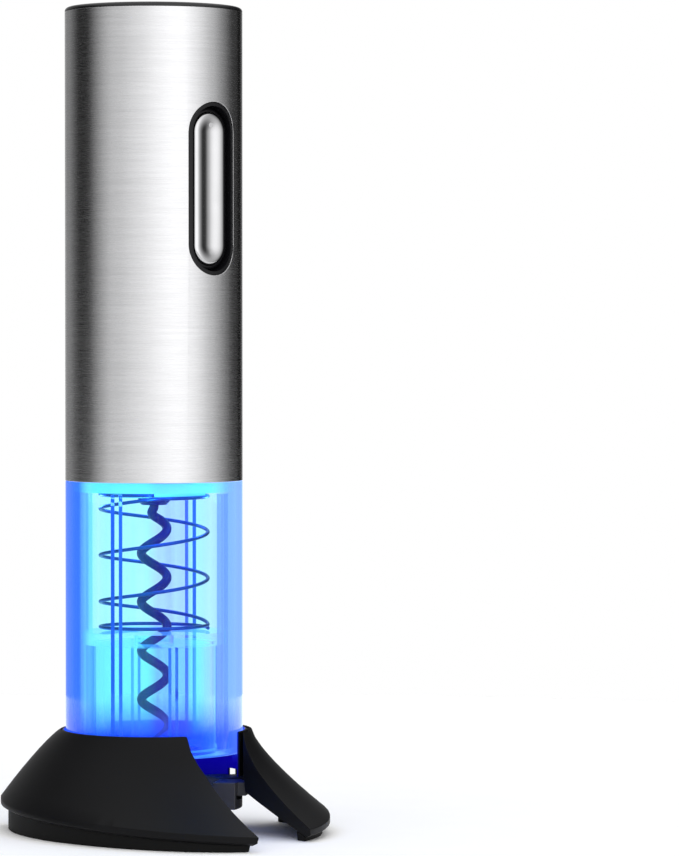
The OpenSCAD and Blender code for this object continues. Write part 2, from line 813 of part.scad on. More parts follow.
module output_planet(place) {
    color("ivory") planet(output_gear_z0, output_gear_w, place);
}

module first_planet(place) {
    color("ivory") planet(first_gear_z0, first_gear_w, place);
}

module ring_gear() {
    color("#6f747c") difference() {
        union() {
            disc(ring_r, base_z1 + seat, plate_z0 - seat);
            at_gearbox_screws() translate([-ring_wall, 0, 0])
                disc(gearbox_lug_r, base_z1 + seat, plate_z0 - seat, $fn = 48);
            at_gearbox_screws() disc(gearbox_lug_r, base_z1 + seat, plate_z0 - seat, $fn = 48);
        }
        at_gearbox_screws() disc(gearbox_screw_r + run, base_z1 - 1, plate_z0 + 1, $fn = 48);
        translate([0, 0, base_z1 - 1]) linear_extrude(height = plate_z0 - base_z1 + 2)
            rotate([0, 0, 180 / ring_teeth]) gear_outline(ring_teeth, dedendum, addendum, -tooth_slack);
    }
}

module motor_plate() {
    color("#9a9da3") difference() {
        union() {
            disc(ring_r, plate_z0, plate_z1);
            at_gearbox_screws() disc(gearbox_lug_r, plate_z0, plate_z1, $fn = 48);
        }
        disc(motor_boss_r + fit, plate_z0 - 1, plate_z1 + 1);
        at_gearbox_screws() disc(gearbox_screw_r + run, plate_z0 - 1, plate_z1 + 1, $fn = 48);
        for (s = [-1, 1]) translate([s * motor_screw_circle, 0, 0]) {
            disc(motor_screw_r + run, plate_z0 - 1, plate_z1 + 1, $fn = 48);
            disc(motor_screw_r + 1.1, plate_z0 - 1, plate_z0 + 1, $fn = 48);
        }
    }
}

module gearbox_screws() {
    color("silver") at_gearbox_screws() {
        disc(gearbox_screw_r, base_z0 + 0.5 + seat, plate_z1 + seat + eps, $fn = 48);
        disc(gearbox_screw_r + 0.9, plate_z1 + seat, plate_z1 + seat + 1.4, $fn = 48);
    }
}

module motor_pinion() {
    color("goldenrod") translate([0, 0, first_gear_z0 + seat]) difference() {
        linear_extrude(height = first_gear_w) gear_outline(sun_teeth, addendum, dedendum, tooth_slack);
        translate([0, 0, -1]) cylinder(r = motor_shaft_r + run, h = first_gear_w + 2, $fn = 48);
    }
}

module motor_shaft() {
    color("silver") disc(motor_shaft_r, first_gear_z0 + seat, motor_z0 + motor_len / 2, $fn = 48);
}

module motor_can() {
    color("#b7bbc0") difference() {
        union() {
            rotate_extrude() polygon([[0, motor_z0], [motor_r - 1.2, motor_z0], [motor_r, motor_z0 + 1.2],
                [motor_r, motor_z1], [0, motor_z1]]);
            disc(motor_boss_r, plate_z0 + 0.7, motor_z0 + eps);
        }
        disc(motor_shaft_r + run, plate_z0, motor_z0 + motor_len / 2 + seat, $fn = 48);
        for (s = [-1, 1]) translate([s * motor_screw_circle, 0, 0])
            disc(motor_screw_r + run, motor_z0 - 1, motor_z0 + 3.2, $fn = 48);
    }
}

module motor_screws() {
    color("silver") for (s = [-1, 1]) translate([s * motor_screw_circle, 0, 0]) {
        disc(motor_screw_r, plate_z0 + seat, motor_z0 + 3, $fn = 48);
        disc(motor_screw_r + 1, plate_z0 + seat, plate_z0 + 1 - seat, $fn = 48);
    }
}

module motor_end_cap() {
    color("#e8e4d8") difference() {
        union() {
            disc(motor_r - 0.9, end_cap_z0, end_cap_z1 - 1);
            disc(motor_r / 3, end_cap_z0, end_cap_z1);
        }
        for (s = [-1, 1]) translate([s * (motor_r - 5) - 1.5, -0.5, end_cap_z0 + 0.8]) cube([3, 1, end_cap_t]);
    }
}

module motor_terminals() {
    color("goldenrod") for (s = [-1, 1])
        translate([s * (motor_r - 5) - 1.4, -0.4, end_cap_z0 + 0.9]) cube([2.8, 0.8, end_cap_t + 3]);
}

// ---- Inner frame and cells ----

module frame_half(side) {
    difference() {
        union() {
            tube(frame_r, frame_in, frame_z0, frame_z1);
            for (z = [motor_z0 + 6, motor_z0 + motor_len - 8])
                tube(frame_in + sink, motor_r + fit, z, z + frame_rib_t);
            for (s = [-1, 1], z = frame_screw_z) translate([s * frame_boss_x, 0, z]) rotate([90, 0, 0])
                disc(frame_boss_r, -frame_boss_y, frame_boss_y, $fn = 48);
            for (s = [-1, 1], z = frame_screw_z)
                translate([s * (frame_boss_x + frame_in) / 2, 0, z])
                    cube([frame_in - frame_boss_x, 2 * frame_boss_y, 2], center = true);
        }
        translate([-2 * tube_r, side > 0 ? -2 * tube_r + seat / 2 : -seat / 2, 0])
            cube([4 * tube_r, 2 * tube_r, cap_z1 + 10]);
        for (s = [-1, 1], z = frame_screw_z) translate([s * frame_boss_x, 0, z]) rotate([90, 0, 0])
            disc(frame_screw_r + run, -frame_boss_y - 1, frame_boss_y + 1, $fn = 48);
    }
}

module frame_front() {
    color("#3c3f45") difference() {
        frame_half(-1);
        key_bar(bezel_w + 2 * fit, bezel_h + 2 * fit, tube_r + 1, board_front);
    }
}

module frame_rear() {
    color("#34373c") frame_half(1);
}

module frame_screws() {
    color("silver") for (s = [-1, 1], z = frame_screw_z)
        translate([s * frame_boss_x, 0, z]) rotate([-90, 0, 0]) {
            disc(frame_screw_r, 1 - frame_boss_y, frame_boss_y + seat + eps, $fn = 48);
            disc(frame_head_r, frame_boss_y + seat, frame_boss_y + frame_head_t, $fn = 48);
        }
}

module at_cells() {
    for (x = [-1, 1], y = [-1, 1]) translate([x * cell_place, y * cell_place, 0]) children();
}

module battery_tray() {
    color("#2e3238") difference() {
        disc(frame_in - fit, tray_z0, frame_z1);
        at_cells() disc(cell_r + cell_room, tray_z0 + tray_floor, cap_z1);
        translate([-2 * tube_r, -4 * tube_r - tray_front, tray_z0 - 1])
            cube([4 * tube_r, 4 * tube_r, cap_z1 - tray_z0]);
    }
}

module battery_cells() {
    color("#35507a") at_cells() {
        disc(cell_r, cell_z0, cell_z1 - cell_nub);
        disc(cell_r / 3, cell_z1 - cell_nub - eps, cell_z1);
    }
}

module contact_springs() {
    wire = 0.3;
    low = tray_z0 + tray_floor + seat + wire;
    high = cell_z0 - seat - wire;
    color("silver") at_cells() coil(2, 24, 4,
        function (t) cell_r * (0.7 - 0.35 * t),
        function (t) low + (high - low) * t,
        function (t) wire,
        function (t) (high - low) / (4 * PI), 0);
}

// Each strip joins two cells
module cap_contacts() {
    color("silver") for (s = [-1, 1]) translate([s * cell_place, 0, cap_contact_z0]) {
        translate([-2.5, -cell_place, 0]) cube([5, 2 * cell_place, contact_t]);
        for (y = [-1, 1]) translate([0, y * cell_place, 0]) cylinder(r = 3.6, h = contact_t);
    }
}

// ---- Outer shells and key ----

module steel_sleeve() {
    color("#b4b6b9") difference() {
        tube(tube_r, sleeve_in, sleeve_z0, sleeve_z1);
        key_bar(slot_w, slot_h, tube_r + 5, tube_r / 2);
    }
}

module top_cap() {
    steps = 6;
    rim = [for (i = [0:steps])
        let (a = i * 90 / steps)
        [tube_r - cap_round + cap_round * cos(a), cap_z1 - cap_dome - cap_round + cap_round * sin(a)]];
    crown = [for (i = [1:steps])
        let (t = i / steps)
        [(tube_r - cap_round) * (1 - t), cap_z1 - cap_dome * pow(1 - t, 2)]];
    skirt_z0 = cap_rim_z0 - cap_skirt;
    color("#121315") rotate_extrude() polygon(concat([[frame_r, cap_rim_z0], [tube_r, cap_rim_z0]],
        rim, crown, [[0, cap_z0], [frame_r - 2.2, cap_z0], [frame_r - 2.2, skirt_z0],
        [frame_r - 0.4, skirt_z0], [frame_r, skirt_z0 + 0.4]]));
}

module rocker_bezel() {
    color("#1a1b1e") difference() {
        union() {
            intersection() {
                key_bar(bezel_w, bezel_h, tube_r + 5, bezel_back);
                disc(tube_r - 0.25, key_z - slot_h, key_z + slot_h);
            }
            key_bar(bezel_w + 2 * bezel_flange, bezel_h + 2 * bezel_flange, bezel_back + 1.2, bezel_back);
        }
        key_bar(key_hole_w, key_hole_h, tube_r + 6, bezel_back - 1);
        translate([-tube_r, -key_pin_y, key_z]) rotate([0, 90, 0])
            cylinder(r = key_pin_r + run, h = 2 * tube_r, $fn = 48);
    }
}

module rocker_pin() {
    color("silver") translate([seat - bezel_w / 2, -key_pin_y, key_z]) rotate([0, 90, 0])
        cylinder(r = key_pin_r, h = bezel_w - 2 * seat, $fn = 48);
}

// Ring of the key's crowned face: inset from the edge, depth from the axis
function key_ring(inset, depth, arc) =
    let (r = key_w / 2 - inset, c = (key_h - key_w) / 2)
    [for (s = [1, -1], k = [0:arc])
        let (a = (s > 0 ? 0 : 180) + k * 180 / arc)
        [r * cos(a), -depth, key_z + s * c + r * sin(a)]];

module rocker() {
    arc = 16;
    rows = 7;
    sides = 2 * (arc + 1);
    inner = key_w / 2 * 0.94;
    rings = concat([key_ring(0, key_back, arc)],
        [for (i = [0:rows])
            let (a = i * 90 / rows)
            key_ring(inner * (1 - cos(a)), key_edge + key_crown * sin(a), arc)]);
    color("#3a3b3f") {
        polyhedron(points = [for (r = rings) each r], faces = ring_faces(rows + 2, sides));
        for (s = [-1, 1]) difference() {
            union() {
                translate([s * key_w / 4 - 1.2, -key_pin_y, key_z]) rotate([0, 90, 0])
                    cylinder(r = key_pin_r + 0.8, h = 2.4, $fn = 48);
                translate([s * key_w / 4 - 1.2, -key_back - sink, key_z - key_pin_r - 0.8])
                    cube([2.4, key_back - key_pin_y + sink, 2 * key_pin_r + 1.6]);
            }
            translate([-tube_r, -key_pin_y, key_z]) rotate([0, 90, 0])
                cylinder(r = key_pin_r + run, h = 2 * tube_r, $fn = 48);
        }
    }
}

module switch_board() {
    color("#1f5a3a") translate([-key_w / 2, -board_front, key_z - key_h / 2])
        cube([key_w, board_t, key_h]);
}

module tact_switches() {
    for (s = [-1, 1]) translate([0, -board_front, key_z + s * switch_pitch / 2]) rotate([90, 0, 0]) {
        color("#26282c") translate([-switch_w / 2, -switch_w / 2, seat])
            cube([switch_w, switch_w, switch_body - seat]);
        color("silver") translate([0, 0, switch_body - eps]) cylinder(r = 1.4, h = 0.5, $fn = 32);
    }
}

stand_collar();
wide_wing();
wide_foot();
fixed_jaws();
fixed_wheel_pins();
hinge_pin();
squeeze_wing();
squeeze_foot();
arm_jaws();
arm_wheel_pins();
cutting_wheel(fixed_wheel_at[0]);  // cutting_wheel_1
cutting_wheel(fixed_wheel_at[1]);  // cutting_wheel_2
cutting_wheel(arm_wheel_at[0]);  // cutting_wheel_3
cutting_wheel(arm_wheel_at[1]);  // cutting_wheel_4
clear_tube();
steel_sleeve();
chamber_roof();
led_board();
leds();
return_spring();
gearbox_base();
output_bushing();
ring_gear();
motor_plate();
gearbox_screws();
motor_can();
motor_end_cap();
motor_terminals();
motor_screws();
frame_front();
frame_rear();
frame_screws();
battery_tray();
battery_cells();
contact_springs();
switch_board();
tact_switches();
rocker_bezel();
rocker_pin();
rocker();
top_cap();
cap_contacts();
neck_guide();
worm();
worm_hub();
output_carrier();
output_planet(0);  // output_planet_1
output_planet(1);  // output_planet_2
output_planet(2);  // output_planet_3
first_carrier();
first_planet(0);  // first_planet_1
first_planet(1);  // first_planet_2
first_planet(2);  // first_planet_3
motor_shaft();
motor_pinion();
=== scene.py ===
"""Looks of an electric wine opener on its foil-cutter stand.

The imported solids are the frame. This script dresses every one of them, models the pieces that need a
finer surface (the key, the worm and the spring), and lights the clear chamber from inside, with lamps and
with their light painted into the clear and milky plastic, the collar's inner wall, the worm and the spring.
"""

import json
import logging
import math
from dataclasses import dataclass, field
from enum import Enum
from typing import Any, Iterable, Sequence

import bmesh
import bpy
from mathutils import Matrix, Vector


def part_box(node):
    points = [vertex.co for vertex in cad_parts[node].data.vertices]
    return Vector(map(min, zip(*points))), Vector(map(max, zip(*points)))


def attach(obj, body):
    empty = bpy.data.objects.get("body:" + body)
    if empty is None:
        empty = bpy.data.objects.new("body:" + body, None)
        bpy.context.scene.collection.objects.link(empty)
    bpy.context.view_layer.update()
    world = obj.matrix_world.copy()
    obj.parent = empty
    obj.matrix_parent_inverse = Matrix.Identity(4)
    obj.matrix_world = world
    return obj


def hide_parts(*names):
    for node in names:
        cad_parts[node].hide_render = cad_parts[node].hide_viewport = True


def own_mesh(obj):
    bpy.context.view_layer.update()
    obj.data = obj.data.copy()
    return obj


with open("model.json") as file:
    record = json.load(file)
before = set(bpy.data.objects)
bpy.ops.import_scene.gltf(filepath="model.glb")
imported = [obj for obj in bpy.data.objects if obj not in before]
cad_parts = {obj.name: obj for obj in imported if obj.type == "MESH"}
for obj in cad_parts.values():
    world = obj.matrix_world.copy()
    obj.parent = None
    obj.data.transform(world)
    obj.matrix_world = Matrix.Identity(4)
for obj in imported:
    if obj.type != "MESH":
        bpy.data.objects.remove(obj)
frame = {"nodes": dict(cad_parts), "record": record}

LOG = logging.getLogger("opener")
MM = 0.001
Colour = tuple[float, float, float]


class Body(str, Enum):
    """The moving bodies that new pieces ride on."""

    OPENER = "opener"
    KEY = "key"
    WORM = "worm_drive"


# ---- Shader writing ----


class Value:
    """A shader socket that can be used in Python arithmetic."""

    def __init__(self, graph: "Graph", socket: Any) -> None:
        """Wraps a socket.

        Args:
            graph: The graph that the socket belongs to.
            socket: An output socket.
        """
        self.graph = graph
        self.socket = socket

    def _math(self, operation: str, *terms: Any) -> "Value":
        """Returns the result of a Math node on these terms."""
        inputs = {i: term for i, term in enumerate(terms)}
        return self.graph.node("ShaderNodeMath", {"operation": operation}, inputs).out(0)

    def __add__(self, other: Any) -> "Value":
        """Returns self + other."""
        return self._math("ADD", self, other)

    def __radd__(self, other: Any) -> "Value":
        """Returns other + self."""
        return self._math("ADD", other, self)

    def __sub__(self, other: Any) -> "Value":
        """Returns self - other."""
        return self._math("SUBTRACT", self, other)

    def __rsub__(self, other: Any) -> "Value":
        """Returns other - self."""
        return self._math("SUBTRACT", other, self)

    def __mul__(self, other: Any) -> "Value":
        """Returns self * other."""
        return self._math("MULTIPLY", self, other)

    def __rmul__(self, other: Any) -> "Value":
        """Returns other * self."""
        return self._math("MULTIPLY", other, self)

    def __truediv__(self, other: Any) -> "Value":
        """Returns self / other."""
        return self._math("DIVIDE", self, other)

    def __rtruediv__(self, other: Any) -> "Value":
        """Returns other / self."""
        return self._math("DIVIDE", other, self)

    def __pow__(self, other: Any) -> "Value":
        """Returns self to the power of other."""
        return self._math("POWER", self, other)

    def __rpow__(self, other: Any) -> "Value":
        """Returns other to the power of self."""
        return self._math("POWER", other, self)

    def absolute(self) -> "Value":
        """Returns the absolute value."""
        return self._math("ABSOLUTE", self)

    def clamp(self) -> "Value":
        """Returns the value held between 0 and 1."""
        return self._math("MINIMUM", self._math("MAXIMUM", self, 0.0), 1.0)


@dataclass
class Made:
    """A node that was just made, with its outputs at hand."""

    graph: "Graph"
    node: Any

    def out(self, key: int | str) -> Value:
        """Returns one of the node's outputs."""
        return Value(self.graph, self.node.outputs[key])


class Graph:
    """The node tree of one material or of the world."""

    # The sockets of a Mix node that hold its two colours, and the one that gives the result.
    MIX_COLOURS = (6, 7)
    MIX_RESULT = 2

    def __init__(self, tree: Any) -> None:
        """Starts on an empty tree.

        Args:
            tree: The node tree, which is emptied first.
        """
        self.tree = tree
        tree.nodes.clear()

    def node(self, kind: str, settings: dict[str, Any] | None = None,
             inputs: dict[int | str, Any] | None = None) -> Made:
        """Makes a node.

        Args:
            kind: The node's type.
            settings: Its own settings, set first; "stops" fills a colour ramp.
            inputs: A value or a Value for each socket, by name or index.

        Returns:
            The new node.
        """
        node = self.tree.nodes.new(kind)
        for key, value in (settings or {}).items():
            if key == "stops":
                self._fill_ramp(node.color_ramp, value)
            else:
                setattr(node, key, value)
        for key, value in (inputs or {}).items():
            if isinstance(value, Value):
                self.tree.links.new(value.socket, node.inputs[key])
            else:
                node.inputs[key].default_value = value
        return Made(self, node)

    @staticmethod
    def _fill_ramp(ramp: Any, stops: Sequence[tuple[float, Colour]]) -> None:
        """Gives a colour ramp its stops.

        Args:
            ramp: The ramp of a new node.
            stops: Pairs of place, from 0 to 1, and colour.
        """
        while len(ramp.elements) < len(stops):
            ramp.elements.new(0.5)
        for element, (place, colour) in zip(ramp.elements, stops):
            element.position = place
            element.color = (*colour, 1.0)

    def ramp(self, factor: Value, stops: Sequence[tuple[float, Colour]], smooth: bool = False) -> Value:
        """Makes a colour ramp.

        Args:
            factor: The place on the ramp, from 0 to 1.
            stops: Pairs of place and colour.
            smooth: Whether the colours run in a curve through the stops, and not straight.

        Returns:
            The colour at that place.
        """
        made = self.node("ShaderNodeValToRGB", {"stops": stops}, {0: factor})
        if smooth:
            made.node.color_ramp.interpolation = "CARDINAL"
        return made.out("Color")

    def mix(self, factor: Any, first: Any, second: Any) -> Value:
        """Blends two colours.

        Args:
            factor: The share of the second one, from 0 to 1.
            first: A colour or a Value.
            second: A colour or a Value.

        Returns:
            The blend.
        """
        pair = {key: (*c, 1.0) if isinstance(c, tuple) else c
                for key, c in zip(self.MIX_COLOURS, (first, second))}
        return self.node("ShaderNodeMix", {"data_type": "RGBA"}, {0: factor, **pair}).out(self.MIX_RESULT)

    def place(self) -> Value:
        """Returns the object coordinates, in metres."""
        return self.node("ShaderNodeTexCoord").out("Object")

    def axes(self, vector: Value) -> tuple[Value, Value, Value]:
        """Returns the three parts of a vector."""
        made = self.node("ShaderNodeSeparateXYZ", inputs={0: vector})
        return made.out("X"), made.out("Y"), made.out("Z")

    def stretched(self, scale: tuple[float, float, float]) -> Value:
        """Returns the object coordinates, scaled on each axis."""
        return self.node("ShaderNodeMapping", inputs={"Vector": self.place(), "Scale": scale}).out(0)

    def noise(self, vector: Value, scale: float, detail: float = 3.0, rough: float = 0.5) -> Value:
        """Returns a noise pattern from 0 to 1."""
        return self.node("ShaderNodeTexNoise", inputs={
            "Vector": vector, "Scale": scale, "Detail": detail, "Roughness": rough}).out(0)

    def bump(self, height: Value, depth: float, strength: float = 1.0) -> Value:
        """Returns a normal that follows a height pattern.

        Args:
            height: The pattern, from 0 to 1.
            depth: How far 1 stands over 0, in metres.
            strength: How much of the effect is used.
        """
        return self.node("ShaderNodeBump", inputs={
            "Height": height, "Distance": depth, "Strength": strength}).out(0)


@dataclass(frozen=True)
class Finish:
    """A surface finish. Subclasses fill in the sockets of one Principled shader."""

    name: str

    def constants(self) -> dict[str, Any]:
        """Returns the sockets of the shader that are the same all over."""
        return {}

    def sockets(self, graph: Graph) -> dict[str, Any]:
        """Returns what feeds each socket of the shader that varies."""
        return {}

    def material(self) -> bpy.types.Material:
        """Makes the material on first use.

        Returns:
            The finish's material.
        """
        name = f"{self.name}_finish"
        known = bpy.data.materials.get(name)
        if known:
            return known
        made = bpy.data.materials.new(name)
        made.use_nodes = True
        graph = Graph(made.node_tree)
        inputs = {**self.constants(), **self.sockets(graph)}
        shader = graph.node("ShaderNodeBsdfPrincipled", inputs=inputs).out("BSDF")
        graph.node("ShaderNodeOutputMaterial", inputs={"Surface": self.surface(graph, shader)})
        return made

    def surface(self, graph: Graph, shader: Value) -> Value:
        """Returns the finished surface, made from the Principled shader."""
        return shader


@dataclass(frozen=True)
class Moulded(Finish):
    """Moulded plastic or rubber: fine spark-eroded grain and slightly uneven gloss."""

    colour: Colour
    roughness: float = 0.45
    grain: float = 0.25
    depth: float = 0.02
    uneven: float = 0.08
    shine: float = 0.5

    def constants(self) -> dict[str, Any]:
        """Returns the sockets that are the same all over."""
        return {"Specular IOR Level": self.shine}

    def sockets(self, graph: Graph) -> dict[str, Any]:
        """Makes the grain and the uneven gloss.

        Args:
            graph: The graph of the material.

        Returns:
            The colour, gloss and grain.
        """
        place = graph.place()
        cloud = graph.noise(place, 60.0, 2.0)
        grain = graph.noise(place, 1 / (self.grain * MM), 2.0)
        light = tuple(min(1.0, c * 1.3 + 0.0005) for c in self.colour)
        return {
            "Base Color": graph.mix(cloud, self.colour, light),
            "Roughness": self.roughness + (cloud - 0.5) * self.uneven,
            "Normal": graph.bump(grain, self.depth * MM, 0.5),
        }


@dataclass(frozen=True)
class LitCollar(Moulded):
    """The stand's moulded black, with the chamber's blue light on the collar's inner wall painted in as a
    glow.
    """

    inner: float = 0.0258
    top: float = 0.0293
    fall: float = 0.021
    low_glow: Colour = (0.0, 0.0, 0.10)
    middle_glow: Colour = (0.003, 0.0, 0.34)
    high_glow: Colour = (0.0, 0.05, 1.0)

    def constants(self) -> dict[str, Any]:
        """Returns the sockets that are the same all over."""
        return {**super().constants(), "Emission Strength": 1.0}

    def sockets(self, graph: Graph) -> dict[str, Any]:
        """Adds the painted light on the inner wall to the plastic.

        Args:
            graph: The graph of the material.

        Returns:
            The plastic's own sockets and the wall's light.
        """
        x, y, z = graph.axes(graph.place())
        # Painted light: the inner wall glows deep blue low down and bright blue near its top.
        wall = ((self.inner - (x * x + y * y) ** 0.5) * 2000.0).clamp()
        height = ((z - self.top + self.fall) / self.fall).clamp()
        wash = graph.ramp(height, [(0.0, self.low_glow), (0.62, self.middle_glow), (1.0, self.high_glow)])
        return {**super().sockets(graph), "Emission Color": graph.mix(wall, (0.0, 0.0, 0.0), wash)}


@dataclass(frozen=True)
class LitPlastic(Moulded):
    """Milky plastic with a painted glow that stands in for the lamps behind it."""

    glow: Colour = (0.10, 0.62, 0.95)

    def constants(self) -> dict[str, Any]:
        """Returns the sockets that are the same all over."""
        return {**super().constants(), "Emission Strength": 1.0}

    def sockets(self, graph: Graph) -> dict[str, Any]:
        """Adds an uneven painted glow to the plastic.

        Args:
            graph: The graph of the material.

        Returns:
            The plastic's own sockets and the glow.
        """
        cloud = graph.noise(graph.place(), 140.0, 2.0)
        dim = tuple(c * 0.7 for c in self.glow)
        return {**super().sockets(graph), "Emission Color": graph.mix(cloud, dim, self.glow)}


@dataclass(frozen=True)
class Metal(Finish):
    """Bare, plated or turned metal with fine wear."""

    colour: Colour
    roughness: float = 0.25
    wear: float = 0.1
    scale: tuple[float, float, float] = (1.0, 1.0, 1.0)
    depth: float = 0.004

    def sockets(self, graph: Graph) -> dict[str, Any]:
        """Makes the wear and the tool marks.

        Args:
            graph: The graph of the material.

        Returns:
            The colour, gloss and tool marks.
        """
        streak = graph.noise(graph.stretched(self.scale), 900.0, 3.0)
        cloud = graph.noise(graph.place(), 120.0, 2.0)
        dark = tuple(c * 0.8 for c in self.colour)
        return {
            "Base Color": graph.mix(cloud, dark, self.colour),
            "Metallic": 1.0,
            "Roughness": self.roughness + (streak - 0.5) * self.wear,
            "Normal": graph.bump(streak, self.depth * MM, 0.4),
        }


@dataclass(frozen=True)
class BrushedSleeve(Finish):
    """Stainless steel brushed round the tube in fine level lines.

    A brush line is about line thick and run long, and depth deep, in millimetres.
    """

    name: str = "brushed_steel"
    colour: Colour = (0.60, 0.60, 0.61)
    line: float = 0.16
    run: float = 9.0
    darkest: float = 0.74
    lightest: float = 1.22
    roughness: float = 0.2
    uneven: float = 0.14
    depth: float = 0.012

    def constants(self) -> dict[str, Any]:
        """Returns the sockets that are the same all over."""
        return {"Metallic": 1.0, "Anisotropic": 0.8, "Anisotropic Rotation": 0.25}

    def sockets(self, graph: Graph) -> dict[str, Any]:
        """Makes the brush lines.

        Args:
            graph: The graph of the material.

        Returns:
            The colour, gloss and brush lines.
        """
        across, along = 1 / (self.run * MM), 1 / (self.line * MM)
        fine = graph.noise(graph.stretched((across, across, along)), 1.0, 4.0, 0.65)
        coarse = graph.noise(graph.stretched((across / 3, across / 3, along / 5)), 1.0, 2.0)
        brush = fine * 0.65 + coarse * 0.35
        dark = tuple(c * self.darkest for c in self.colour)
        light = tuple(min(1.0, c * self.lightest) for c in self.colour)
        return {
            "Base Color": graph.mix(brush, dark, light),
            "Roughness": self.roughness + brush * self.uneven,
            "Normal": graph.bump(brush, self.depth * MM, 0.35),
        }


@dataclass(frozen=True)
class Glowing(Finish):
    """Clear plastic with the blue light of the lamps above it painted in.

    Every wall lets most light through, tinted cyan to stand in for that light, and shows a painted glow of
    its own most where it is seen edge on. The wall away from the key and the chamber's foot show more of the
    painted glow, the far wall in uneven streaks, and the sides of the ribs show a deeper blue painted glow, a
    painted shade.

    The chamber runs from z_low to z_high and has this radius, in metres. right and away are two level
    directions, across the tube and from its lit corner to the far one. face, the far wall's and the foot's
    shares, edge and rib_shown say how much of the glow shows in each place.
    """

    name: str = "clear_plastic"
    tint: Colour = (0.84, 0.99, 0.992)
    face: float = 0.025
    far_glow: float = 0.16
    edge: float = 0.85
    z_low: float = 0.0228
    z_high: float = 0.0994
    right: tuple[float, float] = (0.735, -0.678)
    away: tuple[float, float] = (0.678, 0.735)
    radius: float = 0.025
    own: Colour = (0.02, 0.06, 0.4)
    rib_glow: Colour = (0.005, 0.06, 0.42)
    deep_glow: Colour = (0.0, 0.035, 0.8)
    deep_share: float = 0.2
    low_depth: float = 0.014
    foot_glow: float = 0.25
    turned_from: float = 0.2
    turned_rise: float = 3.4
    rib_shown: float = 0.5

    def constants(self) -> dict[str, Any]:
        """Returns the sockets that are the same all over."""
        return {"Base Color": (*self.own, 1.0), "Roughness": 0.04, "IOR": 1.49, "Emission Strength": 1.0}

    def _share(self, graph: Graph, along: tuple[float, float]) -> Value:
        """Returns how far across the tube a point lies, from 0 to 1 along a level direction."""
        x, y, _ = graph.axes(graph.place())
        return (x * along[0] + y * along[1]) / (2 * self.radius) + 0.5

    @staticmethod
    def _facing(graph: Graph) -> Value:
        """Returns 0 face on and 1 edge on."""
        return graph.node("ShaderNodeLayerWeight", inputs={"Blend": 0.35}).out("Facing")

    @staticmethod
    def _rib_side(graph: Graph) -> Value:
        """Finds the upright faces that run out from the axis, such as a rib's sides.

        Args:
            graph: The graph of the material.

        Returns:
            1 on those faces and 0 elsewhere.
        """
        x, y, _ = graph.axes(graph.place())
        nx, ny, nz = graph.axes(graph.node("ShaderNodeNewGeometry").out("Normal"))
        outward = ((nx * x + ny * y) / (x * x + y * y) ** 0.5).absolute()
        return ((0.5 - outward) * 5.0).clamp() * ((0.5 - nz.absolute()) * 5.0).clamp()

    def sockets(self, graph: Graph) -> dict[str, Any]:
        """Paints the glow: blue at the sides, cyan in the middle and deep blue at the foot.

        Args:
            graph: The graph of the material.

        Returns:
            The glow.
        """
        side = self._share(graph, self.right)
        blue, cyan, lilac = (0.03, 0.14, 1.0), (0.30, 1.0, 1.0), (0.34, 0.30, 1.0)
        pale, dusk = (0.62, 0.75, 1.0), (0.26, 0.45, 0.95)
        # The lamps' light, painted across the tube from one side to the other.
        body = graph.ramp(side, [
            (0.0, blue), (0.08, blue), (0.14, cyan), (0.46, cyan), (0.52, lilac), (0.68, lilac),
            (0.73, cyan), (0.82, pale), (0.9, dusk), (1.0, dusk)])
        rim = graph.ramp(side, [(0.0, (0.02, 0.10, 0.95)), (0.2, (0.04, 0.25, 1.0)), (0.5, (0.02, 0.2, 0.7)),
                                (0.8, (0.10, 0.45, 0.95)), (1.0, (0.25, 0.42, 0.95))])
        height = (graph.axes(graph.place())[2] - self.z_low) / (self.z_high - self.z_low)
        deep = ((self.deep_share - height) * 8.0).clamp()
        lit = graph.mix(deep, body, self.deep_glow)
        edge = (self._facing(graph) ** 2.0 * 1.2).clamp()
        glow = graph.mix(edge, lit, rim)
        # The sides of the ribs take a deeper blue painted glow, a painted shade.
        return {"Emission Color": graph.mix(self._rib_side(graph), glow, self.rib_glow)}

    def surface(self, graph: Graph, shader: Value) -> Value:
        """Lets light through the wall, but less where it is seen edge on, on the far side or low down, where
        the painted glow shows instead.

        Args:
            graph: The graph of the material.
            shader: The shader of the glow.

        Returns:
            The mix of the tinted clear wall and the glow.
        """
        streak = graph.noise(graph.stretched((1.0, 1.0, 0.03)), 320.0, 2.0)
        z = graph.axes(graph.place())[2]
        low = ((self.z_low + self.low_depth - z) / self.low_depth).clamp()
        far = ((self._share(graph, self.away) - 0.5) * 2.5).clamp()
        # The far wall and the foot show more of the painted glow.
        face = self.face + far * (self.far_glow + (streak - 0.5) * 0.5) + low * self.foot_glow
        turned = ((self._facing(graph) - self.turned_from) * self.turned_rise).clamp()
        shown = (face + turned * (self.edge - self.face) + self._rib_side(graph) * self.rib_shown).clamp()
        clear = graph.node("ShaderNodeBsdfTransparent", inputs={"Color": (*self.tint, 1.0)}).out(0)
        return graph.node("ShaderNodeMixShader", inputs={0: shown, 1: clear, 2: shader}).out(0)


@dataclass(frozen=True)
class Lamp(Finish):
    """A lit blue lens, its light patchy and paler in places."""

    name: str = "lamp_blue"
    colour: Colour = (0.12, 0.45, 1.0)

    def constants(self) -> dict[str, Any]:
        """Returns the sockets that are the same all over."""
        return {"Roughness": 0.15, "Emission Strength": 6.0}

    def sockets(self, graph: Graph) -> dict[str, Any]:
        """Makes the lens's colour and light.

        Args:
            graph: The graph of the material.

        Returns:
            The colour and the light.
        """
        cloud = graph.noise(graph.place(), 400.0, 1.0)
        glow = graph.mix(cloud, self.colour, (0.5, 0.8, 1.0))
        return {"Base Color": (*self.colour, 1.0), "Emission Color": glow}


